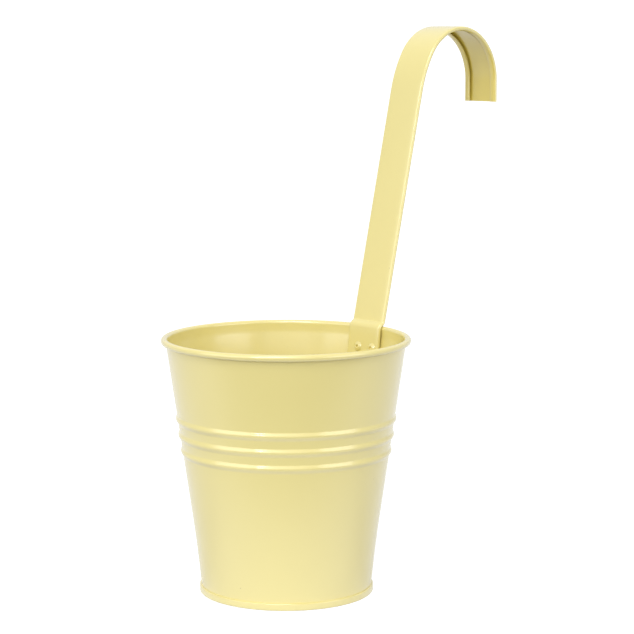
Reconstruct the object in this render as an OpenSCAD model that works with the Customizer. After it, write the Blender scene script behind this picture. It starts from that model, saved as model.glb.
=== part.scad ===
// Hanging sheet-steel bin: a tapered round pot with a wired rim, three raised
// ribs and a seamed-on base, hung from one wide hemmed strap that is riveted
// inside the rim and bent over at the top into a hook for a rail or fence.
// Millimetres, +Z up. The origin is the centre of the base, on the plane the
// pot stands on. The hanger strap is on the +Y side.

/* [Pot] */
// Outside diameter over the rolled rim
rim_d = 150; // [140:1:170]
// Height from the standing plane to the top of the rim
pot_h = 155; // [145:1:180]
// Outside diameter of the base seam
base_d = 105.2; // [100:0.2:108]
// Thickness of the pot sheet
sheet_t = 0.5; // [0.4:0.1:0.6]
// Diameter of the rolled rim
rim_roll_d = 4; // [3.8:0.1:4.6]
// Diameter of the steel wire inside the rolled rim
rim_wire_d = 2.9; // [2:0.1:2.9]

/* [Ribs] */
// Number of ribs pressed outward around the wall
rib_count = 3; // [0:1:3]
// Distance from one rib to the next
rib_pitch = 9.8; // [8:0.1:11]
// Height of the middle of the top rib above the standing plane
rib_top_z = 106; // [100:1:110]
// How far a rib stands out from the wall
rib_rise = 1.05; // [0.4:0.05:1.5]
// Width of one rib along the wall
rib_w = 5.8; // [4:0.1:7]

/* [Base] */
// Height of the seam band round the base
seam_band_h = 4.3; // [3.6:0.1:6]
// How high the base panel sits above the standing plane
base_recess = 4.6; // [3:0.1:7]

/* [Hanger strap] */
// Width of the finished strap
strap_w = 26; // [20:1:30]
// Thickness of the strap sheet
strap_t = 0.8; // [0.6:0.1:1]
// Gap inside each folded edge
hem_gap = 1; // [0.6:0.1:1.2]
// Width of each folded edge
hem_w = 4.2; // [3:0.1:6]
// Length of the straight tab inside the pot
tab_len = 21; // [18:1:24]
// How far the leg leans away from the pot, in degrees
leg_lean = 13.2; // [8:0.1:16]
// Length of the straight leg
leg_len = 145.6; // [90:0.2:180]
// Outer radius of the gentle bend at the top of the leg
ease_r = 73; // [60:1:90]
// Turn of the gentle bend, in degrees
ease_turn = 19.6; // [10:0.1:30]
// Outer radius of the hook
hook_r = 34.4; // [25:0.1:45]
// Length of the straight tip that points down
tip_len = 13.8; // [8:0.2:40]

/* [Rivets] */
// Distance between the two rivets
rivet_pitch = 11.4; // [10.6:0.1:12]
// Sideways offset of the rivet pair from the middle of the strap
rivet_shift = 2; // [-2:0.1:2]
// Distance of the rivets below the bend that clears the rim
rivet_drop = 12; // [9:0.5:13]
// Diameter of the rivet body
rivet_d = 3.2; // [3:0.1:3.4]
// Diameter of the domed rivet flange
flange_d = 6.4; // [5.8:0.1:7]

/* [Hidden] */
$fn = 96;
slack = 0.05; // running gap left between pieces that touch
roll_r = rim_roll_d / 2;
rim_r = rim_d / 2 - roll_r; // circle through the middle of the rolled rim
rim_z = pot_h - roll_r;
half_t = sheet_t / 2;

// Wall: a cone that eases towards upright near the base.
seam_top_r = base_d / 2 - 2 * sheet_t - slack; // wall face inside the seam
neck_drop = 7; // length of the slightly steeper neck under the rolled rim
neck_r = rim_r - roll_r - half_t * 0.4;
ease_z = 45; // height at which the cone starts to ease
ease_k = 0.00063;
cone_slope = (neck_r + sheet_t - seam_top_r - 0.75 - ease_k * 1600)
             / (rim_z - neck_drop - 5) + 0.0175;
function cone_r(z) = neck_r + sheet_t - 0.2 - cone_slope * (rim_z - neck_drop - z);
function wall_r(z) = z < ease_z ? cone_r(z) + ease_k * pow(ease_z - z, 2) : cone_r(z);
function rib(z, zc) = abs(z - zc) < rib_w / 2
    ? rib_rise * (1 + cos(360 * (z - zc) / rib_w)) / 2 : 0;
function ribs(z) = rib_count > 0
    ? max([for (i = [0 : rib_count - 1]) rib(z, rib_top_z - i * rib_pitch)]) : 0;

// Strip of constant thickness along a path of [radius, height] points.
function unit(v) = v / norm(v);
function seg_dir(p, i) = unit(p[i + 1] - p[i]);
function side(p, i) = let (
    a = seg_dir(p, max(i - 1, 0)),
    b = seg_dir(p, min(i, len(p) - 2)),
    m = unit(a + b)
) [-m[1], m[0]] / (m * a);
function strip(p, t_left, t_right) = concat(
    [for (i = [0 : len(p) - 1]) p[i] + t_left * side(p, i)],
    [for (i = [len(p) - 1 : -1 : 0]) p[i] - t_right * side(p, i)]
);
function arc(c, r, a0, a1, n) =
    [for (i = [0 : n]) c + r * [cos(a0 + (a1 - a0) * i / n), sin(a0 + (a1 - a0) * i / n)]];

// Middle line of the wall sheet from the seam to the start of the curl.
seam_mid_r = seam_top_r - half_t;
wall_start_z = seam_band_h + 1.2;
step_z = 0.58;
wall_rows = floor((rim_z - neck_drop - wall_start_z) / step_z);
function needs_row(z) = ribs(z) > 0 || ribs(z - step_z) > 0 || ribs(z + step_z) > 0;
wall_mid = [for (i = [0 : wall_rows])
    let (z = wall_start_z + i * (rim_z - neck_drop - wall_start_z) / wall_rows)
    if (i == 0 || i == wall_rows || needs_row(z) || (z < ease_z + 4 && i % 8 == 0))
        [wall_r(z) + ribs(z) - half_t, z]];

// Hook turned outward and up at the foot of the wall, caught inside the base seam.
hook_bend = 0.5 * (sheet_t + slack); // middle-line radius of the hook bend
hook_mid_r = seam_mid_r + 2 * hook_bend;
foot_z = sheet_t + slack + half_t + hook_bend;
body_hook = concat(
    [[hook_mid_r, seam_band_h - sheet_t - 2 * slack - 0.25]],
    arc([seam_mid_r + hook_bend, foot_z], hook_bend, 360, 180, 8),
    [[seam_mid_r, seam_band_h * 0.9]]
);
// Curl over the wire, ending short of the wall.
curl_mid = arc([rim_r, rim_z], roll_r - half_t, 180, -124, 30);
wall_path = concat(body_hook, wall_mid, curl_mid);

// Lock seam: the folded vertical joint of the wall, outside, between the rivets.
lock_w = 4.6;
lock_rise = 0.75;
lock_turn = lock_w / (rim_r * 0.87) * 180 / PI;
lock_mid = [for (p = wall_mid) if (p[1] > seam_band_h + 1.4) p];

// Base: panel, wall down, turn at the standing plane, band up, lip closed over the hook.
base_in_r = seam_mid_r - half_t - slack - half_t; // middle line of the inner wall
band_mid_r = base_d / 2 - half_t;
turn_r = 0.5;
corner_r = 1.2;
base_path = concat(
    [[0, base_recess]],
    arc([base_in_r - corner_r, base_recess - corner_r], corner_r, 90, 0, 6),
    arc([base_in_r + turn_r, turn_r + half_t], turn_r, 180, 270, 5),
    arc([band_mid_r - turn_r, turn_r + half_t], turn_r, 270, 360, 5),
    arc([band_mid_r - 0.45, seam_band_h - half_t - 0.45], 0.45, 0, 90, 5),
    [[seam_mid_r + half_t + slack, seam_band_h - half_t]]
);

// Strap section: x across, y from the outer face towards the folded side. The
// sheet runs from the lip of one fold across the face to the lip of the other.
strap_h = 2 * strap_t + hem_gap;
hem_r = strap_h / 2;
hem_x = strap_w / 2 - hem_r;
lip_x = strap_w / 2 - hem_w;
function sheet_side(r) = concat(
    [[lip_x, hem_r + r]],
    arc([hem_x, hem_r], r, 90, -90, 6),
    arc([-hem_x, hem_r], r, -90, -270, 6),
    [[-lip_x, hem_r + r]]
);
face_side = sheet_side(hem_r);
fold_side = sheet_side(hem_r - strap_t);
// Strap path. The tab leans with the wall, turns over the rim and back into the leg.
rim_clear = 0.1;
clear_y = sqrt(rim_r * rim_r - hem_x * hem_x); // rim circle at the folded edges
over_r = roll_r + rim_clear + strap_h; // outer face radius over the rim
back_r = 1.5; // outer face radius of the bend back into the leg
tab_reach = clear_y - (roll_r + rim_clear);
tab_foot_z = rim_z - tab_len;
tab_foot_y = sqrt(pow(wall_r(tab_foot_z) - sheet_t, 2) - hem_x * hem_x) - 0.15;
tab_lean = atan((tab_reach - tab_foot_y) / tab_len);
back_turn = 53.8;
over_turn = leg_lean + back_turn - tab_lean;
hook_turn = 180 - leg_lean - ease_turn;
tab_top = [clear_y - over_r * cos(tab_lean), rim_z + over_r * sin(tab_lean)];

// Strap stations: [outer face point [y, z], lean from upright] along the path.
function bend(c, r, a0, a1, steps) = [for (i = [1 : steps])
    let (a = a0 + (a1 - a0) * i / steps) [c - r * [cos(a), -sin(a)], a]];
function normal(a) = [cos(a), -sin(a)];
function along(a) = [sin(a), cos(a)];
rim_centre = [clear_y, rim_z];
back_lean = tab_lean + over_turn;
back_centre = rim_centre - (over_r + back_r) * normal(back_lean);
leg_foot = back_centre + back_r * normal(leg_lean);
leg_top = leg_foot + leg_len * along(leg_lean);
ease_centre = leg_top + ease_r * normal(leg_lean);
ease_lean = leg_lean + ease_turn;
hook_centre = ease_centre - (ease_r - hook_r) * normal(ease_lean);
tip_top = hook_centre - hook_r * normal(180);
stations = concat(
    [[tab_top - tab_len * along(tab_lean), tab_lean], [tab_top, tab_lean]],
    bend(rim_centre, over_r, tab_lean, back_lean, 8),
    bend(back_centre, -back_r, back_lean, leg_lean, 7),
    [[leg_top, leg_lean]],
    bend(ease_centre, ease_r, leg_lean, ease_lean, 4),
    bend(hook_centre, hook_r, ease_lean, 180, 26),
    [[tip_top + tip_len * along(180), 180]]
);

// Rivet seats, measured from the tab face along the rivet axis.
rivet_at = tab_top - rivet_drop * [sin(tab_lean), cos(tab_lean)];
hole_d = rivet_d + 0.2;
tail_d = rivet_d * 1.5;
tail_len = 2.2;
bore_d = 1.9;
stem_d = 1.8;
rivet_x = [rivet_shift - rivet_pitch / 2, rivet_shift + rivet_pitch / 2];
lock_offset = asin(rivet_shift / wall_r(rivet_at[1])); // turn of the lock seam from +Y
function grip(x) = let (
    near = max(abs(x) - tail_d / 2, 0),
    r = wall_r(rivet_at[1])
) (sqrt(r * r - near * near) - rivet_at[0]) / cos(tab_lean) + 0.05;

pot_colour = [0.94, 0.87, 0.60];
steel_colour = [0.72, 0.73, 0.74];

// A rivet frame: z runs from the tab face through the wall, origin on the face.
module at_rivet(x) {
    translate([x, rivet_at[0], rivet_at[1]]) rotate([-90 - tab_lean, 0, 0]) children();
}

module pot_wall() {
    color(pot_colour) difference() {
        union() {
            rotate_extrude() polygon(strip(wall_path, half_t, half_t));
            rotate([0, 0, 90 - lock_turn / 2 - lock_offset]) rotate_extrude(angle = lock_turn)
                polygon(strip(lock_mid, half_t * 0.5, half_t + lock_rise));
        }
        for (x = rivet_x) at_rivet(x) cylinder(d = hole_d, h = 8);
    }
}

module rim_wire() {
    color(steel_colour) translate([0, 0, rim_z]) rotate_extrude()
        translate([rim_r, 0]) circle(d = rim_wire_d);
}

module base_pan() {
    color(pot_colour) rotate_extrude() polygon(strip(base_path, half_t, half_t));
}

// One closed sheet swept along the strap path: quads between neighbouring stations.
module hanger_strap() {
    m = len(face_side);
    n = 2 * m;
    rows = len(stations);
    function at(i, q) = let (s = stations[i], p = s[0] + q[1] * [cos(s[1]), -sin(s[1])])
        [q[0], p[0], p[1]];
    points = [for (i = [0 : rows - 1]) for (q = concat(face_side, fold_side)) at(i, q)];
    ring = concat([for (k = [0 : m - 1]) k], [for (k = [n - 1 : -1 : m]) k]);
    walls = [for (i = [0 : rows - 2]) for (k = [0 : n - 1])
        let (a = ring[k], b = ring[(k + 1) % n], o = i * n) [o + a, o + b, o + n + b, o + n + a]];
    ends = [for (i = [0, rows - 1]) for (k = [0 : m - 2])
        let (o = i * n) i == 0 ? [o + k, o + m + k, o + m + k + 1, o + k + 1]
            : [o + k, o + k + 1, o + m + k + 1, o + m + k]];
    color(pot_colour) difference() {
        polyhedron(points, concat(walls, ends), convexity = 10);
        for (x = rivet_x) at_rivet(x)
            translate([0, 0, -0.5]) cylinder(d = hole_d, h = strap_t + 1);
    }
}

module rivet(x) {
    dome_h = 1.15;
    dome_r = (flange_d * flange_d / 4 + dome_h * dome_h) / (2 * dome_h);
    color(pot_colour) at_rivet(x) difference() {
        union() {
            intersection() {
                translate([0, 0, dome_r - dome_h]) sphere(r = dome_r);
                translate([0, 0, -dome_h - 1]) cylinder(d = flange_d, h = dome_h + 1);
            }
            cylinder(d = rivet_d, h = grip(x) + tail_len);
            translate([0, 0, grip(x)]) rotate_extrude() polygon(concat(
                [[0, 0], [tail_d / 2 - 0.5, 0]],
                [for (i = [1 : 5]) [tail_d / 2 - 0.5 * (1 - sin(18 * i)), 0.5 * (1 - cos(18 * i))]],
                [[tail_d / 2, tail_len - 1.1], [rivet_d / 2, tail_len], [0, tail_len]]));
        }
        translate([0, 0, -dome_h - 1]) cylinder(d = bore_d, h = grip(x) + tail_len + dome_h + 2);
    }
}

module rivet_stem(x) {
    head_d = rivet_d - 0.15;
    top = grip(x) + tail_len + 0.02;
    color(steel_colour) at_rivet(x) union() {
        translate([0, 0, 0.6]) cylinder(d = stem_d, h = top);
        translate([0, 0, top]) rotate_extrude() polygon(concat(
            [[0, 0], [head_d / 2, 0], [head_d / 2, 0.5]],
            [for (i = [1 : 5]) [head_d / 2 * cos(17 * i), 0.5 + 0.9 * sin(17 * i)]],
            [[0, 1.4]]));
    }
}

module rivet_left() { rivet(rivet_x[0]); }
module rivet_right() { rivet(rivet_x[1]); }
module rivet_stem_left() { rivet_stem(rivet_x[0]); }
module rivet_stem_right() { rivet_stem(rivet_x[1]); }

pot_wall();
rim_wire();
base_pan();
hanger_strap();
rivet_left();
rivet_right();
rivet_stem_left();
rivet_stem_right();
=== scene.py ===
import math

import bmesh
import bpy
import numpy as np
from mathutils import Matrix, Vector


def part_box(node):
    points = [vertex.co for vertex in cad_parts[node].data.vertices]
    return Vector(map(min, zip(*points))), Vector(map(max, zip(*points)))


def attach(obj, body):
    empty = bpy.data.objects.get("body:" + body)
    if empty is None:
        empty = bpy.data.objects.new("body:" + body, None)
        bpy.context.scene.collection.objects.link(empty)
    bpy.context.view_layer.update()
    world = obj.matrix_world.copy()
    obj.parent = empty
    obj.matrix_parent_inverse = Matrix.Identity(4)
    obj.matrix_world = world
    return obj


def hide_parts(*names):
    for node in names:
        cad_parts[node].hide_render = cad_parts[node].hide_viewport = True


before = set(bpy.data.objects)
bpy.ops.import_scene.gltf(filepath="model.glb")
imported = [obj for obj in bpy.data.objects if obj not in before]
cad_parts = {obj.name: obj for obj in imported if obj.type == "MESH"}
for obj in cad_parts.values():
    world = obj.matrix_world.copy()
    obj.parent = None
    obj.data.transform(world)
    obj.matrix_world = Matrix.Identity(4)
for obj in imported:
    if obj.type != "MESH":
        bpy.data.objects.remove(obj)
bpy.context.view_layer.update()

MM = 0.001
ROOT = "root"
rng = np.random.default_rng(20)

# ---------------------------------------------------------------- sizes, in millimetres
wall_low, wall_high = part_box("pot_wall")
base_low, base_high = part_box("base_pan")
strap_low, strap_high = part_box("hanger_strap")
RIM_D = (wall_high.x - wall_low.x) / MM
POT_H = wall_high.z / MM
BASE_D = (base_high.x - base_low.x) / MM
SHEET = 0.5
HALF = SHEET / 2
SLACK = 0.05
# The rolled rim: outer radius of the roll, and the centre that it turns round.
ROLL_R = 2.0
RIM_R = RIM_D / 2 - ROLL_R
RIM_Z = POT_H - ROLL_R
RIB_RISE, RIB_W, RIB_PITCH, RIB_TOP, RIB_COUNT = 1.05, 5.8, 9.8, 106.0, 3
# The base seam's band, the height of the base panel, and the foot of the wall inside the seam.
BAND_H, RECESS = 4.3, 4.6
SEAM_TOP_R = BASE_D / 2 - 2 * SHEET - SLACK
FOOT_MID = SEAM_TOP_R - HALF
# The cone: it starts above the seam, flares a little up to EASE_Z, and ends in the neck under the rim.
FOOT_Z, FOOT_STEP = 5.0, 0.75
EASE_Z, EASE_K = 45.0, 0.00063
NECK_DROP, NECK_SHORT, NECK_IN, NECK_STEP = 7.0, 3.6, 0.1, 0.2
NECK_R = RIM_R - ROLL_R - NECK_IN
SLOPE_TRIM = 0.0175
CONE_RISE = NECK_R + SHEET - SEAM_TOP_R - FOOT_STEP - EASE_K * (EASE_Z - FOOT_Z) ** 2
CONE_SLOPE = CONE_RISE / (RIM_Z - NECK_DROP - FOOT_Z) + SLOPE_TRIM


def wall_r(z):
    """Outer radius of the wall between the ribs at height z."""
    r = NECK_R + SHEET - NECK_STEP - CONE_SLOPE * (RIM_Z - NECK_DROP - z)
    return r + EASE_K * (EASE_Z - z) ** 2 if z < EASE_Z else r


def ribs(z):
    """How far the pressed ribs stand out at height z."""
    d = min(abs(z - (RIB_TOP - i * RIB_PITCH)) for i in range(RIB_COUNT))
    return RIB_RISE * (1 + math.cos(2 * math.pi * d / RIB_W)) / 2 if d < RIB_W / 2 else 0.0


def arc(c, r, a0, a1, n):
    """Points of an arc round c, from a0 to a1 degrees in n steps."""
    angles = np.radians(np.linspace(a0, a1, n + 1))
    return [(c[0] + r * math.cos(a), c[1] + r * math.sin(a)) for a in angles]


def offset_pair(path, t_left, t_right):
    """The two faces of a sheet whose middle line is path."""
    p = np.array(path, float)
    d = np.diff(p, axis=0)
    d /= np.linalg.norm(d, axis=1)[:, None]
    a = np.vstack([d[:1], d])
    b = np.vstack([d, d[-1:]])
    m = a + b
    m /= np.linalg.norm(m, axis=1)[:, None]
    side = np.stack([-m[:, 1], m[:, 0]], 1) / np.sum(m * a, 1)[:, None]
    return p + side * t_left, p - side * t_right


def closed_sheet(path, t_left, t_right, edge_steps=3, edge_bulge=0.6):
    """Closed outline of a sheet with rounded sheet edges."""
    left, right = offset_pair(path, t_left, t_right)

    def cap(a, b, out):
        c, r = (a + b) / 2, np.linalg.norm(a - b) / 2
        u = (a - b) / (2 * r)
        steps = np.linspace(0, math.pi, edge_steps + 2)[1:-1]
        return [c + r * (math.cos(s) * u + edge_bulge * math.sin(s) * out) for s in steps]

    path = np.array(path, float)
    end = path[-1] - path[-2]
    start = path[0] - path[1]
    end /= np.linalg.norm(end)
    start /= np.linalg.norm(start)
    return np.array(list(left) + cap(left[-1], right[-1], end) + list(right[::-1])
                    + cap(right[0], left[0], start))


# ---------------------------------------------------------------- mesh helpers
def make_object(name, verts, faces, material, wear=None, fold=None, sharp=50):
    """Smooth mesh object from millimetres, with the wear values, and the values for the painted shade on
    folded sides, that the paint reads.
    """
    mesh = bpy.data.meshes.new(name)
    mesh.from_pydata([tuple(v) for v in np.asarray(verts) * MM], [], faces)
    mesh.validate()
    mesh.update()
    mesh.polygons.foreach_set("use_smooth", [True] * len(mesh.polygons))
    mesh.set_sharp_from_angle(angle=math.radians(sharp))
    for key, values in (("wear", wear), ("fold", fold)):
        layer = mesh.attributes.new(key, "FLOAT", "POINT")
        values = np.zeros(len(mesh.vertices)) if values is None else np.asarray(values, float)
        layer.data.foreach_set("value", values)
    mesh.materials.append(material)
    obj = bpy.data.objects.new(name, mesh)
    bpy.context.scene.collection.objects.link(obj)
    return obj


def revolve(outline, angles, swell=None):
    """Closed outline of (radius, height) points turned round Z at the given angles."""
    outline = np.asarray(outline, float)
    n, m = len(outline), len(angles)
    rings = []
    for a in angles:
        r = outline[:, 0] + (swell(a, outline) if swell else 0.0)
        rings.append(np.stack([r * math.cos(a), r * math.sin(a), outline[:, 1]], 1))
    faces = []
    for i in range(m):
        j = (i + 1) % m
        faces += [(i * n + k, j * n + k, j * n + (k + 1) % n, i * n + (k + 1) % n) for k in range(n)]
    return np.vstack(rings), faces


def disc_revolve(line, steps):
    """Open line of (radius, height) points turned round Z, with a pole at each end of the line."""
    line = np.asarray(line, float)
    rings = line[1:-1]
    n = len(rings)
    verts, faces = [], []
    for i in range(steps):
        a = 2 * math.pi * i / steps
        verts += [(r * math.cos(a), r * math.sin(a), z) for r, z in rings]
    for i in range(steps):
        j = (i + 1) % steps
        faces += [(i * n + k, j * n + k, j * n + k + 1, i * n + k + 1) for k in range(n - 1)]
    first, last = len(verts), len(verts) + 1
    verts += [(0, 0, line[0][1]), (0, 0, line[-1][1])]
    faces += [(first, ((i + 1) % steps) * n, i * n) for i in range(steps)]
    faces += [(last, i * n + n - 1, ((i + 1) % steps) * n + n - 1) for i in range(steps)]
    return np.array(verts, float), faces


def fix_normals(obj):
    bm = bmesh.new()
    bm.from_mesh(obj.data)
    bmesh.ops.recalc_face_normals(bm, faces=bm.faces)
    bm.to_mesh(obj.data)
    bm.free()


# ---------------------------------------------------------------- materials
PAINT_PALE = (0.787, 0.685, 0.246)
PAINT_DEEP = (0.773, 0.666, 0.229)
# Painted shade for the strap's folded side, where the hems and the inside of the hook lie in shadow.
FOLD_SHADE_TONE = (0.75, 0.61, 0.105)
EDGE_TONE = (0.72, 0.66, 0.42)
DUST_TONE = (0.42, 0.34, 0.14)
STEEL_DARK = (0.30, 0.30, 0.31)
STEEL_LIGHT = (0.56, 0.56, 0.57)
PAINT_IOR, LACQUER_ROUGH = 1.75, 0.19
ROUGH_BELOW, ROUGH_ABOVE, ROUGH_MOST = 0.04, 0.06, 0.75


def node_maker(owner):
    """The node tree of a material or world, and a function that adds a node with inputs and properties."""
    tree = owner.node_tree

    def new(kind, inputs=None, **props):
        n = tree.nodes.new(kind)
        for k, v in props.items():
            setattr(n, k, v)
        for k, v in (inputs or {}).items():
            if hasattr(v, "is_output"):
                tree.links.new(v, n.inputs[k])
            else:
                n.inputs[k].default_value = v
        return n

    return tree, new


def opaque(colour, tone=1.0):
    return tuple(tone * c for c in colour) + (1,)


def colour_mix(tree, new, factor, first, second):
    """Colour that goes from first to second; either is a colour or another node's output."""
    node = new("ShaderNodeMix", {"Factor": factor}, data_type="RGBA")
    for letter, value in (("A", first), ("B", second)):
        socket = next(i for i in node.inputs if i.name == letter and i.type == "RGBA")
        if hasattr(value, "is_output"):
            tree.links.new(value, socket)
        else:
            socket.default_value = value
    return next(o for o in node.outputs if o.type == "RGBA")


def painted_steel(name, tone=1.0, rough=0.36, seed=0.0):
    """Stoved enamel on thin sheet: faint orange peel, thin spots on edges, odd dust specks."""
    mat = bpy.data.materials.new(name)
    mat.use_nodes = True
    tree, new = node_maker(mat)
    shader = tree.nodes["Principled BSDF"]
    coord = new("ShaderNodeTexCoord")
    place = new("ShaderNodeMapping", {"Vector": coord.outputs["Object"],
                                      "Location": (seed, seed * 0.7, -seed)})
    p = place.outputs["Vector"]

    cloud = new("ShaderNodeTexNoise", {"Vector": p, "Scale": 22.0, "Detail": 3.0, "Roughness": 0.55})
    fine = new("ShaderNodeTexNoise", {"Vector": p, "Scale": 420.0, "Detail": 2.0, "Roughness": 0.5})
    grain = new("ShaderNodeTexNoise", {"Vector": p, "Scale": 2600.0, "Detail": 1.0, "Roughness": 0.5})
    speck = new("ShaderNodeTexVoronoi", {"Vector": p, "Scale": 95.0, "Randomness": 1.0}, feature="F1")
    wear = new("ShaderNodeAttribute", attribute_name="wear")
    fold = new("ShaderNodeAttribute", attribute_name="fold")

    colour = colour_mix(tree, new, cloud.outputs["Fac"], opaque(PAINT_DEEP, tone), opaque(PAINT_PALE, tone))
    # Painted shade: the strap's folded side, in the hems and inside the hook, gets a deeper, more saturated
    # tone.
    colour = colour_mix(tree, new, fold.outputs["Fac"], colour, opaque(FOLD_SHADE_TONE, tone))
    # Thin paint on folded and cut edges lets a little of the primer through.
    worn = new("ShaderNodeMath", {0: wear.outputs["Fac"], 1: fine.outputs["Fac"]}, operation="MULTIPLY")
    thin = new("ShaderNodeMapRange", {"Value": worn.outputs[0], "From Min": 0.30, "From Max": 0.75,
                                      "To Min": 0.0, "To Max": 0.55})
    colour = colour_mix(tree, new, thin.outputs["Result"], colour, opaque(EDGE_TONE))
    # Dust caught in the paint.
    dot = new("ShaderNodeMapRange", {"Value": speck.outputs["Distance"], "From Min": 0.030,
                                     "From Max": 0.018, "To Min": 0.0, "To Max": 1.0})
    patch = new("ShaderNodeTexNoise", {"Vector": p, "Scale": 60.0, "Detail": 0.0})
    rare = new("ShaderNodeMapRange", {"Value": patch.outputs["Fac"], "From Min": 0.60, "From Max": 0.66})
    dust = new("ShaderNodeMath", {0: dot.outputs["Result"], 1: rare.outputs["Result"]}, operation="MULTIPLY")
    colour = colour_mix(tree, new, dust.outputs[0], colour, opaque(DUST_TONE))
    tree.links.new(colour, shader.inputs["Base Color"])

    cloudy = new("ShaderNodeMapRange", {"Value": cloud.outputs["Fac"], "To Min": rough - ROUGH_BELOW,
                                        "To Max": rough + ROUGH_ABOVE})
    dull = new("ShaderNodeMath", {0: cloudy.outputs["Result"], 1: thin.outputs["Result"]}, operation="ADD")
    capped = new("ShaderNodeMath", {0: dull.outputs[0], 1: ROUGH_MOST}, operation="MINIMUM")
    tree.links.new(capped.outputs[0], shader.inputs["Roughness"])

    peel = new("ShaderNodeBump", {"Height": fine.outputs["Fac"], "Strength": 0.16, "Distance": 0.00012})
    tooth = new("ShaderNodeBump", {"Height": grain.outputs["Fac"], "Strength": 0.10, "Distance": 0.00002,
                                   "Normal": peel.outputs["Normal"]})
    nib = new("ShaderNodeBump", {"Height": dust.outputs[0], "Strength": 0.5, "Distance": 0.00006,
                                 "Normal": tooth.outputs["Normal"]})
    tree.links.new(nib.outputs["Normal"], shader.inputs["Normal"])
    shader.inputs["IOR"].default_value = PAINT_IOR
    shader.inputs["Specular IOR Level"].default_value = 0.5
    shader.inputs["Coat Weight"].default_value = 1.0
    shader.inputs["Coat Roughness"].default_value = LACQUER_ROUGH
    shader.inputs["Coat IOR"].default_value = PAINT_IOR
    return mat


def bare_steel(name):
    """Drawn mild-steel wire: fine lines along it and a dull grey film."""
    mat = bpy.data.materials.new(name)
    mat.use_nodes = True
    tree, new = node_maker(mat)
    shader = tree.nodes["Principled BSDF"]
    coord = new("ShaderNodeTexCoord")
    streak = new("ShaderNodeMapping", {"Vector": coord.outputs["Object"], "Scale": (1.0, 1.0, 14.0)})
    lines = new("ShaderNodeTexNoise", {"Vector": streak.outputs["Vector"], "Scale": 240.0, "Detail": 4.0})
    film = new("ShaderNodeTexNoise", {"Vector": coord.outputs["Object"], "Scale": 40.0, "Detail": 3.0})
    tone = new("ShaderNodeValToRGB", {"Fac": film.outputs["Fac"]})
    tone.color_ramp.elements[0].color = opaque(STEEL_DARK)
    tone.color_ramp.elements[1].color = opaque(STEEL_LIGHT)
    rough = new("ShaderNodeMapRange", {"Value": lines.outputs["Fac"], "To Min": 0.28, "To Max": 0.50})
    bump = new("ShaderNodeBump", {"Height": lines.outputs["Fac"], "Strength": 0.3, "Distance": 0.00003})
    tree.links.new(tone.outputs["Color"], shader.inputs["Base Color"])
    tree.links.new(rough.outputs["Result"], shader.inputs["Roughness"])
    tree.links.new(bump.outputs["Normal"], shader.inputs["Normal"])
    shader.inputs["Metallic"].default_value = 1.0
    return mat


wall_paint = painted_steel("wall_paint", seed=0.0)
strap_paint = painted_steel("strap_paint", seed=0.31, rough=0.37)
base_paint = painted_steel("base_paint", seed=0.57)
rivet_paint = painted_steel("rivet_paint", seed=0.83, rough=0.34)
# The stem end is painted dark: partly the bare broken steel inside the rivet, partly painted shade for the
# deep bore.
stem_paint = painted_steel("stem_paint", tone=0.20, seed=1.1, rough=0.45)
wire_steel = bare_steel("wire_steel")

# ---------------------------------------------------------------- pot wall
# The cone starts RISE_START above the seam's band. The roll's sheet ends at ROLL_END degrees.
RISE_START, ROLL_END = 1.2, -124
# The hooked foot is straight up to this share of the band's height.
FOOT_SHARE = 0.9
LOW_STEPS, RIB_STEPS, HIGH_STEPS, ROLL_STEPS, FOOT_STEPS = 26, 110, 14, 36, 10
# The lock seam: its width, its height off the wall, its bent edges, and how far it starts above the band and
# ends above the neck's foot. MEAN_TAPER is the cone's middle radius against the rim's.
LOCK_W, LOCK_RISE, LOCK_EDGE, LOCK_START, LOCK_STOP = 4.6, 0.75, 0.35, 1.5, 0.2
MEAN_TAPER = 0.87
FREE_STEPS = 300
# The sheet's unevenness: slow waves round the wall, weaker the shorter they are.
WAVE_COUNTS, WAVE_RISE, WAVE_FADE, PHASE_MAX = range(2, 9), 0.05, 0.7, 6.28
WAVE_LENGTH, WAVE_MARGIN = 30.0, 20.0
# Thin paint on top of the roll and on its outer underside.
CREST_DEPTH, CREST_WEAR, UNDER_DROP, UNDER_OUT, UNDER_WEAR = 0.35, 0.45, 1.1, 0.2, 0.7


def wall_middle():
    """Middle line of the wall's sheet, from its hooked foot up to the end of the rolled rim."""
    turn_r = (SHEET + SLACK) / 2
    turn_z = SHEET + SLACK + HALF + turn_r
    hook = [(FOOT_MID + 2 * turn_r, BAND_H - SHEET - 2 * SLACK - HALF)]
    hook += arc((FOOT_MID + turn_r, turn_z), turn_r, 360, 180, FOOT_STEPS)
    hook += [(FOOT_MID, BAND_H * FOOT_SHARE)]
    start, stop = BAND_H + RISE_START, RIM_Z - NECK_SHORT
    ribs_low, ribs_high = RIB_TOP - RIB_PITCH * (RIB_COUNT - 1) - RIB_W, RIB_TOP + RIB_W
    zs = sorted(set(np.round(np.concatenate([
        np.linspace(start, ribs_low, LOW_STEPS), np.linspace(ribs_low, ribs_high, RIB_STEPS),
        np.linspace(ribs_high, stop, HIGH_STEPS)]), 4)))
    rise = [(wall_r(z) + ribs(z) - HALF, z) for z in zs]
    return hook + rise + arc((RIM_R, RIM_Z), ROLL_R - HALF, 180, ROLL_END, ROLL_STEPS)


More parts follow.
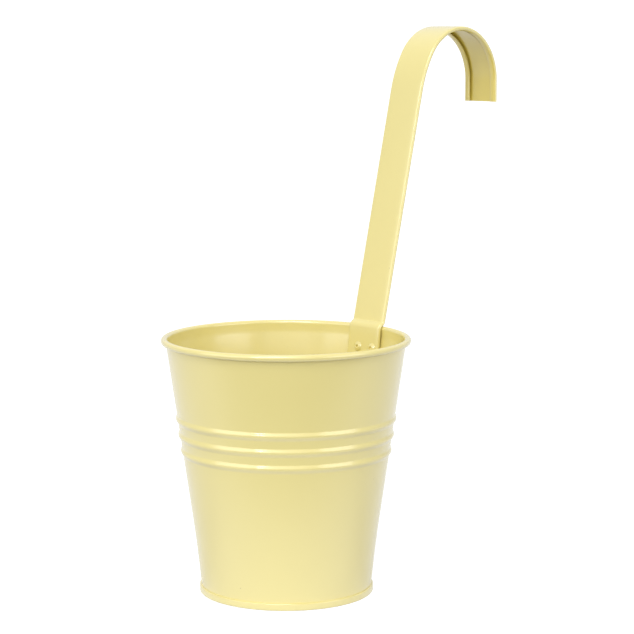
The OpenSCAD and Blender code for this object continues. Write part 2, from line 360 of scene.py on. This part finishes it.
# The lock seam runs outside, halfway between the rivets.
rivet_spans = [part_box("rivet_" + side) for side in ("left", "right")]
RIVET_X = [(low.x + high.x) / 2 / MM for low, high in rivet_spans]
rivet_z = (rivet_spans[0][0].z + rivet_spans[0][1].z) / 2 / MM
back = math.pi / 2 - math.asin(sum(RIVET_X) / 2 / wall_r(rivet_z))
lock_half = LOCK_W / 2 / (RIM_R * MEAN_TAPER)
lock_edge = LOCK_EDGE / (RIM_R * MEAN_TAPER)
lock_angles = [back + lock_half * k for k in (-1, -0.5, 0, 0.5, 1)]
free_from, free_to = back + lock_half + lock_edge, back + 2 * math.pi - lock_half - lock_edge
wall_angles = list(np.linspace(free_from, free_to, FREE_STEPS)) + lock_angles
waves = [(k, WAVE_RISE / k ** WAVE_FADE * rng.normal(), rng.uniform(0, PHASE_MAX)) for k in WAVE_COUNTS]


def wall_swell(a, outline):
    """Raised lock seam on the outer face, and the slight unevenness of hand-fed sheet."""
    r, z = outline[:, 0], outline[:, 1]
    body = (z > BAND_H + LOCK_START) & (z < RIM_Z - NECK_SHORT + LOCK_STOP)
    outer = body & (r > np.array([wall_r(h) + ribs(h) for h in z]) - HALF)
    lock = np.where(outer & (a in lock_angles), LOCK_RISE, 0.0)
    fade_low = np.clip((z - BAND_H) / WAVE_MARGIN, 0, 1)
    fade_high = np.clip((RIM_Z - NECK_DROP - z) / WAVE_MARGIN, 0, 1)
    drift = sum(w * math.cos(k * a + ph) * np.cos(z / WAVE_LENGTH + k) for k, w, ph in waves)
    return lock + fade_low * fade_high * drift


wall_outline = closed_sheet(wall_middle(), HALF, HALF)
outline_r, outline_z = wall_outline[:, 0], wall_outline[:, 1]
roll_under = ((outline_z > RIM_Z - NECK_DROP) & (outline_z < RIM_Z - UNDER_DROP)
              & (outline_r > RIM_R + UNDER_OUT))
outline_wear = np.where(roll_under, UNDER_WEAR, np.where(outline_z > POT_H - CREST_DEPTH, CREST_WEAR, 0.0))
verts, faces = revolve(wall_outline, wall_angles, wall_swell)
pot = make_object("pot_wall_sheet", verts, faces, wall_paint, np.tile(outline_wear, len(wall_angles)))
fix_normals(pot)
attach(pot, ROOT)
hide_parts("pot_wall")

# ---------------------------------------------------------------- base pan
PAN_STEPS = 256
PANEL_RINGS = (0.0, 8.0, 20.0, 32.0, 40.0, 46.0)
CORNER_R, TURN_R, FOLD_R = 1.2, 0.5, 0.45
# Worn paint where the pot stands and on the upper fold of the band.
TREAD_R, TREAD_H, TREAD_WEAR = 51.0, 0.3, 0.6
FOLD_DEPTH, FOLD_IN, FOLD_WEAR = 0.2, 0.5, 0.35

pan_in_r = FOOT_MID - HALF - SLACK - HALF
band_r = BASE_D / 2 - HALF
pan_line = ([(r, RECESS) for r in PANEL_RINGS]
            + arc((pan_in_r - CORNER_R, RECESS - CORNER_R), CORNER_R, 90, 0, 9)
            + arc((pan_in_r + TURN_R, TURN_R + HALF), TURN_R, 180, 270, 8)
            + arc((band_r - TURN_R, TURN_R + HALF), TURN_R, 270, 360, 8)
            + arc((band_r - FOLD_R, BAND_H - HALF - FOLD_R), FOLD_R, 0, 90, 8)
            + [(FOOT_MID + HALF + SLACK, BAND_H - HALF)])
upper, lower = offset_pair(pan_line, HALF, HALF)
upper[0, 0] = lower[0, 0] = 0.0
pan_outline = np.vstack([upper, lower[::-1]])
ring_r, ring_z = pan_outline[1:-1, 0], pan_outline[1:-1, 1]
band_fold = (ring_z > BAND_H - FOLD_DEPTH) & (ring_r > band_r - FOLD_IN)
ring_wear = np.where((ring_r > TREAD_R) & (ring_z < TREAD_H), TREAD_WEAR, np.where(band_fold, FOLD_WEAR, 0.0))
verts, faces = disc_revolve(pan_outline, PAN_STEPS)
base = make_object("base_pan_sheet", verts, faces, base_paint,
                   np.concatenate([np.tile(ring_wear, PAN_STEPS), [0, 0]]))
fix_normals(base)
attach(base, ROOT)
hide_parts("base_pan")

# ---------------------------------------------------------------- hanger strap
STRAP_W = (strap_high.x - strap_low.x) / MM
# Gauge of the strap, the gap inside its folded edges, and how far they reach in.
T, GAP, HEM_W = 0.8, 1.0, 4.2
TAB_LEN, LEG_LEAN, LEG_LEN = 21.0, 13.2, 145.6
EASE_R, EASE_TURN, HOOK_R, TIP_LEN = 73.0, 19.6, 34.4, 13.8
BACK_R, BACK_TURN = 1.5, 53.8
RIM_CLEAR, WALL_CLEAR = 0.1, 0.15
STRAP_H = 2 * T + GAP
HEM_R = STRAP_H / 2
HEM_X = STRAP_W / 2 - HEM_R
LIP_X = STRAP_W / 2 - HEM_W
# The strap is flat and the rim is round, so the strap's folded edges decide how close it lies.
CLEAR_Y = math.sqrt(RIM_R ** 2 - HEM_X ** 2)
OVER_R = ROLL_R + RIM_CLEAR + STRAP_H
TAB_FOOT_Y = math.sqrt((wall_r(RIM_Z - TAB_LEN) - SHEET) ** 2 - HEM_X ** 2) - WALL_CLEAR
TAB_LEAN = math.degrees(math.atan((CLEAR_Y - ROLL_R - RIM_CLEAR - TAB_FOOT_Y) / TAB_LEN))
BACK_LEAN = LEG_LEAN + BACK_TURN
# The cut lip of a fold: how far its middle and its corners stand proud, and half its height.
LIP_BULGE, LIP_ROUND, LIP_HALF = 0.24, 0.17, 0.25
LIP_WEAR, SIDE_WEAR, END_WEAR = 0.7, 0.3, 0.8
LIP_REACH, SIDE_OUT, FOLD_ABOVE, FOLD_INSET = 0.3, 0.9, 0.2, 0.3
# Hand work: a slight crown across the strap, and folds whose lips wander in two waves along it.
CROWN = 0.12
SWAYS = ((0.10, 23.0, 1.3), (0.05, 7.9, 0.0))


def normal(a):
    """Direction (y, z) square to the strap where it leans a degrees, towards its folded side."""
    return np.array([math.cos(math.radians(a)), -math.sin(math.radians(a))])


def along(a):
    """Direction (y, z) along the strap where it leans a degrees."""
    return np.array([math.sin(math.radians(a)), math.cos(math.radians(a))])


def bend(c, r, a0, a1, steps):
    """Stations of a bend round c, without its start."""
    return [(c - r * normal(a), a) for a in np.linspace(a0, a1, steps + 1)[1:]]


def straight(p, a, length, steps):
    """Stations of a straight stretch from p, without its start."""
    return [(p + along(a) * length * i / steps, a) for i in range(1, steps + 1)]


rim_c = np.array([CLEAR_Y, RIM_Z])
tab_top = rim_c - OVER_R * normal(TAB_LEAN)
tab_end = tab_top - TAB_LEN * along(TAB_LEAN)


def strap_path():
    """Places (y, z) and leans in degrees along the strap's plain face, from the tab's end to the tip."""
    back_c = rim_c - (OVER_R + BACK_R) * normal(BACK_LEAN)
    leg_foot = back_c + BACK_R * normal(LEG_LEAN)
    leg_top = leg_foot + LEG_LEN * along(LEG_LEAN)
    ease_lean = LEG_LEAN + EASE_TURN
    ease_c = leg_top + EASE_R * normal(LEG_LEAN)
    hook_c = ease_c - (EASE_R - HOOK_R) * normal(ease_lean)
    tip_top = hook_c - HOOK_R * normal(180)
    return ([(tab_end, TAB_LEAN)] + straight(tab_end, TAB_LEAN, TAB_LEN, 6)
            + bend(rim_c, OVER_R, TAB_LEAN, BACK_LEAN, 14) + bend(back_c, -BACK_R, BACK_LEAN, LEG_LEAN, 12)
            + straight(leg_foot, LEG_LEAN, LEG_LEN, 36) + bend(ease_c, EASE_R, LEG_LEAN, ease_lean, 10)
            + bend(hook_c, HOOK_R, ease_lean, 180, 74) + straight(tip_top, 180, TIP_LEN, 5))


def hem_line(r):
    """One face of the hemmed section, at distance r from the middle line of its folds."""
    return ([(LIP_X, HEM_R + r), ((LIP_X + HEM_X) / 2, HEM_R + r)] + arc((HEM_X, HEM_R), r, 90, -90, 12)
            + [(x, HEM_R - r) for x in np.linspace(HEM_X, -HEM_X, 9)[1:-1]]
            + arc((-HEM_X, HEM_R), r, -90, -270, 12)
            + [(-(LIP_X + HEM_X) / 2, HEM_R + r), (-LIP_X, HEM_R + r)])


hem_outer, hem_inner = hem_line(HEM_R), hem_line(HEM_R - T)
lip_mid = 2 * HEM_R - T / 2
lip = [(-LIP_X + LIP_ROUND, lip_mid + LIP_HALF), (-LIP_X + LIP_BULGE, lip_mid),
       (-LIP_X + LIP_ROUND, lip_mid - LIP_HALF)]
section = np.array(hem_outer + lip + hem_inner[::-1] + [(-x, b) for x, b in lip[::-1]])
section_x, section_b = section[:, 0], section[:, 1]
lip_zone = (np.abs(np.abs(section_x) - LIP_X) < LIP_REACH) & (section_b > HEM_R)
side_zone = np.abs(section_x) > HEM_X + SIDE_OUT
section_wear = np.where(lip_zone, LIP_WEAR, np.where(side_zone, SIDE_WEAR, 0.0))
# Points on the strap's folded side, which get the painted shade tone.
inside_fold = (section_b > T * 0.7) & (np.abs(section_x) < HEM_X + HEM_R - FOLD_INSET)
n_out, n_lip, n_sec = len(hem_outer), len(lip), len(section)


def strap_ring(place, lean, length):
    """The section at one place on the path, with its crown and the sway of the folds' lips."""
    folded = section_b > HEM_R + FOLD_ABOVE
    crown = CROWN * (1 - (section_x / HEM_X) ** 2).clip(0)
    depth = section_b - np.where(folded, 0.0, crown)
    sway = sum(size * math.sin(length / wave + phase) for size, wave, phase in SWAYS)
    across = section_x + np.where(folded & (np.abs(section_x) < HEM_X), sway, 0.0) * np.sign(section_x)
    flat = place + depth[:, None] * normal(lean)
    return np.column_stack([across, flat])


def strap_end_faces(first, flip):
    """Flat cut end of the strap: quads between its two faces, and a fan at each lip."""
    inner_at = [n_out + n_lip + n_out - 1 - k for k in range(n_out)]
    faces = [(k, inner_at[k], inner_at[k + 1], k + 1) for k in range(n_out - 1)]
    faces += [(n_out - 1, n_out + i, n_out + i + 1) for i in range(n_lip)]
    faces += [(0, n_sec - 1 - i, n_sec - 2 - i) for i in range(n_lip)]
    return [tuple(first + k for k in (face[::-1] if flip else face)) for face in faces]


stations = strap_path()
rows = len(stations)
steps = [0.0] + [float(np.linalg.norm(q[0] - p[0])) for p, q in zip(stations, stations[1:])]
verts = np.vstack([strap_ring(p, a, s) for (p, a), s in zip(stations, np.cumsum(steps))])
wear = np.tile(section_wear, rows)
wear[:n_sec] = wear[-n_sec:] = END_WEAR
faces = []
for i in range(rows - 1):
    o, q = i * n_sec, (i + 1) * n_sec
    faces += [(o + k, o + (k + 1) % n_sec, q + (k + 1) % n_sec, q + k) for k in range(n_sec)]
faces += strap_end_faces(0, False) + strap_end_faces((rows - 1) * n_sec, True)
# Painted shade on the strap's folded side.
fold = np.tile(inside_fold.astype(float), rows)
strap = make_object("hanger_strap_sheet", verts, faces, strap_paint, wear, fold)
fix_normals(strap)
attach(strap, ROOT)
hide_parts("hanger_strap")

# ---------------------------------------------------------------- rivets
RIVET_DROP = 12.0
FLANGE_D, DOME_H, BORE_D, STEM_D, RIVET_D, TAIL_LEN = 6.4, 1.15, 1.9, 1.8, 3.2, 2.2
TAIL_D, TAIL_ROUND = RIVET_D * 1.5, 0.5
DOME_R = (FLANGE_D ** 2 / 4 + DOME_H ** 2) / (2 * DOME_H)
# The stem broke off inside the rivet, STEM_SUNK past the seat. Its head closes the tail.
STEM_SUNK, HEAD_GAP, HEAD_EDGE, HEAD_DOME = 0.75, 0.02, 0.5, 0.9
HEAD_R = (RIVET_D - 0.15) / 2
RIVET_STEPS, STEM_STEPS = 48, 40
# Thin paint round the edge of the rivet's bore.
BORE_EDGE_Z, BORE_EDGE_W, BORE_WEAR = -0.9, 0.4, 0.5
seat = tab_top - RIVET_DROP * along(TAB_LEAN)


def grip(x):
    """Thickness that the rivet at x clamps, from the tab's face to the outside of the wall."""
    near = max(abs(x) - TAIL_D / 2, 0)
    r = wall_r(seat[1])
    return (math.sqrt(r * r - near * near) - seat[0]) / math.cos(math.radians(TAB_LEAN)) + SLACK


def place_rivet(obj, x, roll):
    """Seat a piece drawn along Z square on the tab at x, with its axis pointing out of the pot."""
    axis = Vector((0, *normal(TAB_LEAN)))
    up = Vector((0, *along(TAB_LEAN)))
    across = up.cross(axis)
    m = Matrix((across, up, axis)).transposed().to_4x4()
    m.translation = Vector((x, seat[0], seat[1])) * MM
    obj.data.transform(m @ Matrix.Rotation(roll, 4, "Z"))


def quarter(steps, step_deg):
    """Cosines and sines of the given number of steps round a quarter turn, without its start."""
    angles = [math.radians(step_deg * i) for i in range(1, steps + 1)]
    return [(math.cos(a), math.sin(a)) for a in angles]


def rivet_line(g):
    """Half section of a set blind rivet: domed flange, shank and swaged tail, open bore."""
    dome = [(r, DOME_R - DOME_H - math.sqrt(DOME_R ** 2 - r ** 2))
            for r in np.linspace(BORE_D / 2 + 0.18, FLANGE_D / 2 - 0.1, 12)]
    rim = [(FLANGE_D / 2 - 0.03, -0.13), (FLANGE_D / 2, -0.06), (FLANGE_D / 2 - 0.02, -0.005),
           (RIVET_D / 2, 0.0)]
    tail = [(RIVET_D / 2, g), (TAIL_D / 2 - TAIL_ROUND, g)]
    tail += [(TAIL_D / 2 - TAIL_ROUND * (1 - s), g + TAIL_ROUND * (1 - c)) for c, s in quarter(5, 18)]
    tail += [(TAIL_D / 2, g + TAIL_LEN - 1.1), (TAIL_D / 2 - 0.12, g + TAIL_LEN - 0.85),
             (RIVET_D / 2 + 0.08, g + TAIL_LEN - 0.1), (RIVET_D / 2 - 0.05, g + TAIL_LEN)]
    bore = [(BORE_D / 2, g + TAIL_LEN), (BORE_D / 2, 0.0), (BORE_D / 2, dome[0][1] + 0.14),
            (BORE_D / 2 + 0.05, dome[0][1] + 0.04)]
    return np.array(dome + rim + tail + bore)


def stem_line(g):
    """Half section of the stem left in the rivet: broken end, shank, and the domed head at the tail."""
    top = g + TAIL_LEN + HEAD_GAP
    broken = [(0, STEM_SUNK), (STEM_D / 4, 0.66), (STEM_D / 2 - 0.08, 0.62), (STEM_D / 2, 0.72)]
    collar = [(STEM_D / 2, top), (HEAD_R - 0.08, top), (HEAD_R, top + 0.1), (HEAD_R, top + HEAD_EDGE)]
    dome = [(HEAD_R * c, top + HEAD_EDGE + HEAD_DOME * s) for c, s in quarter(5, 17)]
    return broken + collar + dome + [(0, top + HEAD_EDGE + HEAD_DOME)]


for side, x, roll in (("left", RIVET_X[0], 0.4), ("right", RIVET_X[1], 2.1)):
    outline = rivet_line(grip(x))
    verts, faces = revolve(outline, np.linspace(0, 2 * math.pi, RIVET_STEPS, endpoint=False))
    bore_edge = (outline[:, 1] < BORE_EDGE_Z) & (outline[:, 0] < BORE_D / 2 + BORE_EDGE_W)
    wear = np.tile(np.where(bore_edge, BORE_WEAR, 0.0), RIVET_STEPS)
    rivet = make_object("rivet_body_" + side, verts, faces, rivet_paint, wear, sharp=55)
    place_rivet(rivet, x, roll)
    fix_normals(rivet)
    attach(rivet, ROOT)
    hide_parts("rivet_" + side)

    verts, faces = disc_revolve(stem_line(grip(x)), STEM_STEPS)
    # Dark stem tone: partly bare steel, partly painted shade of the bore.
    stem = make_object("rivet_stem_end_" + side, verts, faces, stem_paint)
    place_rivet(stem, x, roll)
    fix_normals(stem)
    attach(stem, ROOT)
    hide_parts("rivet_stem_" + side)

# ---------------------------------------------------------------- rim wire, kept from the CAD
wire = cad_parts["rim_wire"]
wire.data.materials.clear()
wire.data.materials.append(wire_steel)

# ---------------------------------------------------------------- camera
# Azimuth and downward pitch, then sideways shift, distance and height in metres, then sensor and lens in mm.
VIEW_AZ, PITCH = math.radians(45.0), math.radians(7.83)
SIDE, DIST, EYE_Z = 0.01855, 1.3123, 0.3472
SENSOR, LENS = 36.0, 125.6025237
# Level direction from the camera to the pot.
forward_flat = Vector((-math.sin(VIEW_AZ), math.cos(VIEW_AZ), 0))


def make_camera():
    right = Vector((math.cos(VIEW_AZ), math.sin(VIEW_AZ), 0))
    forward = (forward_flat * math.cos(PITCH) + Vector((0, 0, -math.sin(PITCH)))).normalized()
    data = bpy.data.cameras.new("view")
    data.sensor_width = SENSOR
    data.lens = LENS
    data.clip_end = 60.0
    cam = bpy.data.objects.new("view", data)
    m = Matrix((right, right.cross(forward), -forward)).transposed().to_4x4()
    m.translation = right * SIDE - forward_flat * DIST + Vector((0, 0, EYE_Z))
    cam.matrix_world = m
    bpy.context.scene.collection.objects.link(cam)
    bpy.context.scene.camera = cam


make_camera()

# ---------------------------------------------------------------- floor and world
FLOOR_SIZE, FLOOR_DROP, FLOOR_GREY = 40.0, 0.0002, 0.36
WHITE = (1, 1, 1, 1)
# The floor's brightness to the camera, then what the object's gloss sees: the floor round and behind it, and
# a brighter patch close before it. Distances are in metres from the pot's axis.
FLOOR_SEEN, SHINE_WIDE, SHINE_NEAR = 0.80, 0.56, 0.70
WIDE_FADE, WIDE_END, NEAR_START, NEAR_END = 0.12, 0.30, 0.06, 0.24
# The world's brightness to the camera, at the horizon and overhead, and what is added behind the object.
SKY_SEEN, SKY_LOW, SKY_TOP, SKY_BACK = 1.15, 0.46, 0.80, 0.32


def floor_white():
    """Grey floor that looks white to the camera and glows only in the object's gloss."""
    mat = bpy.data.materials.new("floor_white")
    mat.use_nodes = True
    tree, new = node_maker(mat)
    shader = tree.nodes["Principled BSDF"]
    shader.inputs["Base Color"].default_value = (FLOOR_GREY, FLOOR_GREY, FLOOR_GREY, 1)
    shader.inputs["Roughness"].default_value = 0.9
    shader.inputs["Specular IOR Level"].default_value = 0.1
    shader.inputs["Emission Color"].default_value = WHITE
    ray = new("ShaderNodeLightPath")
    spot = new("ShaderNodeTexCoord")
    ahead = new("ShaderNodeVectorMath", {0: spot.outputs["Object"], 1: -forward_flat},
                operation="DOT_PRODUCT")
    wide = new("ShaderNodeMapRange", {"Value": ahead.outputs["Value"], "From Min": WIDE_FADE,
                                      "From Max": WIDE_END, "To Min": SHINE_WIDE, "To Max": 0.0})
    before = new("ShaderNodeMapRange", {"Value": ahead.outputs["Value"], "From Min": 0.0,
                                        "From Max": NEAR_START, "To Min": 0.0, "To Max": SHINE_NEAR})
    reach = new("ShaderNodeVectorMath", {0: spot.outputs["Object"]}, operation="LENGTH")
    fade = new("ShaderNodeMapRange", {"Value": reach.outputs["Value"], "From Min": NEAR_START,
                                      "From Max": NEAR_END, "To Min": 1.0, "To Max": 0.0})
    level = new("ShaderNodeMath", {0: before.outputs["Result"], 1: fade.outputs["Result"],
                                   2: wide.outputs["Result"]}, operation="MULTIPLY_ADD")
    shine = new("ShaderNodeMath", {0: ray.outputs["Is Glossy Ray"], 1: level.outputs[0]},
                operation="MULTIPLY")
    glow = new("ShaderNodeMath", {0: ray.outputs["Is Camera Ray"], 1: FLOOR_SEEN, 2: shine.outputs[0]},
               operation="MULTIPLY_ADD")
    tree.links.new(glow.outputs[0], shader.inputs["Emission Strength"])
    return mat


def studio_world():
    """Soft white room, brighter overhead and behind the object, and plain white to the camera."""
    world = bpy.data.worlds.new("studio")
    world.use_nodes = True
    tree, new = node_maker(world)
    tree.nodes.clear()
    out = new("ShaderNodeOutputWorld")
    way = new("ShaderNodeTexCoord")
    parts = new("ShaderNodeSeparateXYZ", {"Vector": way.outputs["Generated"]})
    level = new("ShaderNodeMapRange", {"Value": parts.outputs["Z"], "From Min": 0.0, "From Max": 1.0,
                                       "To Min": SKY_LOW, "To Max": SKY_TOP})
    away = new("ShaderNodeVectorMath", {0: way.outputs["Generated"], 1: forward_flat},
               operation="DOT_PRODUCT")
    behind = new("ShaderNodeMapRange", {"Value": away.outputs["Value"], "From Min": -0.1, "From Max": 1.0,
                                        "To Min": 0.0, "To Max": SKY_BACK})
    total = new("ShaderNodeMath", {0: level.outputs["Result"], 1: behind.outputs["Result"]}, operation="ADD")
    lit = new("ShaderNodeBackground", {"Color": WHITE, "Strength": total.outputs[0]})
    seen = new("ShaderNodeBackground", {"Color": WHITE, "Strength": SKY_SEEN})
    ray = new("ShaderNodeLightPath")
    mix = new("ShaderNodeMixShader", {0: ray.outputs["Is Camera Ray"], 1: lit.outputs[0], 2: seen.outputs[0]})
    tree.links.new(mix.outputs[0], out.inputs[0])
    return world


bpy.ops.mesh.primitive_plane_add(size=FLOOR_SIZE, location=(0, 0, -FLOOR_DROP))
floor = bpy.context.object
floor.name = "floor"
floor.data.materials.append(floor_white())
bpy.context.scene.world = studio_world()

# ---------------------------------------------------------------- lights
# Softboxes: turn and height in degrees from the camera's side, width and height in metres, power.
SOFTBOXES = {"front_left": (-60, 15, 1.20, 1.02, 5.8), "front_right": (58, 15, 1.12, 1.02, 6.0),
             "front": (0, 15, 1.4, 0.9, 2.4)}
SOFTBOX_FAR, SOFTBOX_AIM = 1.6, 0.12
# Suns: turn, height and spread in degrees, power.
SUNS = {"key": (-12.0, 52.0, 26.0, 1.05), "low": (-27.0, 24.0, 9.0, 0.36)}


def place_light(name, data, turn, height):
    """Lamp that shines on the pot, turned round it from the camera's side; its direction is returned."""
    a, h = math.radians(turn) + VIEW_AZ, math.radians(height)
    towards = Vector((math.sin(a) * math.cos(h), -math.cos(a) * math.cos(h), math.sin(h)))
    lamp = bpy.data.objects.new(name, data)
    lamp.rotation_euler = towards.to_track_quat("Z", "Y").to_euler()
    bpy.context.scene.collection.objects.link(lamp)
    return lamp, towards


for name, (turn, height, size_x, size_y, power) in SOFTBOXES.items():
    data = bpy.data.lights.new(name, "AREA")
    data.shape = "RECTANGLE"
    data.size, data.size_y = size_x, size_y
    data.energy = power
    lamp, towards = place_light(name, data, turn, height)
    lamp.location = towards * SOFTBOX_FAR + Vector((0, 0, SOFTBOX_AIM))
    lamp.visible_camera = False

for name, (turn, height, spread, power) in SUNS.items():
    data = bpy.data.lights.new(name, "SUN")
    data.energy = power
    data.angle = math.radians(spread)
    place_light(name, data, turn, height)

scene = bpy.context.scene
scene.view_settings.view_transform = "Standard"
scene.view_settings.look = "None"
scene.view_settings.exposure = 0.0
scene.view_settings.gamma = 1.0
